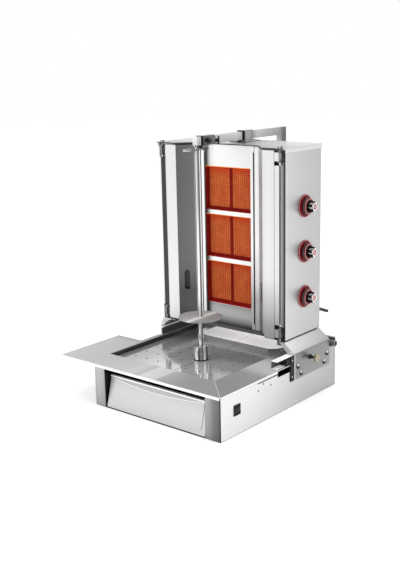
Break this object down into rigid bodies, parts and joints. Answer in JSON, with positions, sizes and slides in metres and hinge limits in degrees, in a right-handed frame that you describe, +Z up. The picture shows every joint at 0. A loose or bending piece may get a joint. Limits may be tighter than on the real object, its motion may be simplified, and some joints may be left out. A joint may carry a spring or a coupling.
{
  "type": "doner kebab grill",
  "caption": "Gas vertical spit grill: a burner tower with hinged heat shields slides on a box base with a side shelf, drip floor and drawer, under a top arm.",
  "frame": {"origin": "foot of the spit axis, on the ground", "axes": "+Z up along the spit, +Y to the back (towards the tower), +X to the side with the valve knobs"},
  "size_m": [0.694, 0.738, 0.8415],
  "materials": {
    "body_steel": "brushed",
    "bright_steel": "satin, bright",
    "polished_steel": "polished",
    "painted_shield": "bright bead-blasted",
    "black_part": "matte",
    "dark_metal": "satin dark",
    "drive_metal": "cast",
    "brass": "satin",
    "red_enamel": "gloss",
    "burner_metal": "heat-stained",
    "burner_ceramic": "matte, drilled",
    "knob_metal": "satin"
  },
  "bodies": {
    "base": {"base_bottom": "body_steel", "base_side_walls": "body_steel", "base_posts": "body_steel", "base_back": "body_steel", "tray_top": "bright_steel", "basin": "body_steel", "floor_left": "bright_steel", "floor_right": "bright_steel", "deck": "bright_steel", "drip_pan": "body_steel", "drawer_runners": "body_steel", "rails": "body_steel", "gear_motor": "drive_metal", "gearbox": "drive_metal", "spindle_seal": "black_part", "switch_body": "black_part", "cable_gland": "black_part"},
    "drawer": {"drawer_body": "body_steel", "drawer_front": "bright_steel"},
    "spindle": {"spindle_shaft": "body_steel", "spit_socket": "polished_steel", "spit_rod": "polished_steel", "spit_disc": "polished_steel"},
    "carriage": {"carriage_sides": "body_steel", "carriage_frame": "dark_metal", "carriage_pads": "black_part", "carriage_bolts": "bright_steel", "tower_sides": "body_steel", "tower_front": "bright_steel", "tower_back": "body_steel", "tower_cap": "body_steel", "hinge_pins": "bright_steel", "burner_1": "burner_metal", "burner_2": "burner_metal", "burner_3": "burner_metal", "plaques_1": "burner_ceramic", "plaques_2": "burner_ceramic", "plaques_3": "burner_ceramic", "thermocouples": "dark_metal", "gas_train": "body_steel", "knob_bezels": "red_enamel", "arm_collar": "body_steel", "gas_inlet": "body_steel", "rear_handle": "black_part"},
    "lock": {"lock_knob": "brass"},
    "shield_left": {"wing_left": "painted_shield"},
    "shield_right": {"wing_right": "painted_shield"},
    "stem_1": {"valve_stem_1": "polished_steel"},
    "stem_2": {"valve_stem_2": "polished_steel"},
    "stem_3": {"valve_stem_3": "polished_steel"},
    "knob_1": {"knob_1": "knob_metal"},
    "knob_2": {"knob_2": "knob_metal"},
    "knob_3": {"knob_3": "knob_metal"},
    "arm": {"arm_bar": "body_steel", "arm_head": "bright_steel"},
    "head_screw": {"head_screw": "dark_metal"},
    "arm_screw": {"arm_screw": "dark_metal"},
    "rocker_1": {"rocker_1": "black_part"},
    "rocker_2": {"rocker_2": "black_part"}
  },
  "joints": [
    {"name": "drawer_slide", "type": "slide", "parent": "base", "child": "drawer", "axis": [0, -1, 0], "range_m": [0, 0.19]},
    {"name": "spit_spin", "type": "hinge", "parent": "base", "child": "spindle", "pos_m": [0, 0, 0.1], "axis": [0, 0, 1], "continuous": true},
    {"name": "carriage_slide", "type": "slide", "parent": "base", "child": "carriage", "axis": [0, 1, 0], "range_m": [-0.065, 0]},
    {"name": "lock_turn", "type": "hinge", "parent": "carriage", "child": "lock", "pos_m": [0.3, 0.189, 0.1385], "axis": [1, 0, 0], "continuous": true},
    {"name": "shield_left_hinge", "type": "hinge", "parent": "carriage", "child": "shield_left", "pos_m": [-0.238, 0.106, 0.5], "axis": [0, 0, 1], "range_deg": [-100, 0]},
    {"name": "shield_right_hinge", "type": "hinge", "parent": "carriage", "child": "shield_right", "pos_m": [0.238, 0.106, 0.5], "axis": [0, 0, 1], "range_deg": [0, 100]},
    {"name": "arm_slide", "type": "slide", "parent": "carriage", "child": "arm", "axis": [0, 1, 0], "range_m": [0, 0.065]},
    {"name": "head_screw_turn", "type": "hinge", "parent": "arm", "child": "head_screw", "pos_m": [0.02, 0.04, 0.824], "axis": [1, 0, 0], "continuous": true},
    {"name": "arm_screw_turn", "type": "hinge", "parent": "arm", "child": "arm_screw", "pos_m": [0.02, 0.086, 0.821], "axis": [1, 0, 0], "continuous": true},
    {"name": "valve_1_press", "type": "slide", "parent": "carriage", "child": "stem_1", "axis": [-1, 0, 0], "range_m": [0, 0.004], "stiffness_N_per_m": 800},
    {"name": "knob_1_turn", "type": "hinge", "parent": "stem_1", "child": "knob_1", "pos_m": [0.27, 0.215, 0.326], "axis": [1, 0, 0], "range_deg": [0, 180]},
    {"name": "valve_2_press", "type": "slide", "parent": "carriage", "child": "stem_2", "axis": [-1, 0, 0], "range_m": [0, 0.004], "stiffness_N_per_m": 800},
    {"name": "knob_2_turn", "type": "hinge", "parent": "stem_2", "child": "knob_2", "pos_m": [0.27, 0.215, 0.473], "axis": [1, 0, 0], "range_deg": [0, 180]},
    {"name": "valve_3_press", "type": "slide", "parent": "carriage", "child": "stem_3", "axis": [-1, 0, 0], "range_m": [0, 0.004], "stiffness_N_per_m": 800},
    {"name": "knob_3_turn", "type": "hinge", "parent": "stem_3", "child": "knob_3", "pos_m": [0.27, 0.215, 0.617], "axis": [1, 0, 0], "range_deg": [0, 180]},
    {"name": "switch_1_rock", "type": "hinge", "parent": "base", "child": "rocker_1", "pos_m": [0.287, -0.1972, 0.078], "axis": [0, 1, 0], "range_deg": [-16, 0]},
    {"name": "switch_2_rock", "type": "hinge", "parent": "base", "child": "rocker_2", "pos_m": [0.287, -0.1848, 0.078], "axis": [0, 1, 0], "range_deg": [-16, 0]}
  ],
  "couplings": [
    {"joint": "arm_slide", "follows": "carriage_slide", "ratio": -1}
  ]
}
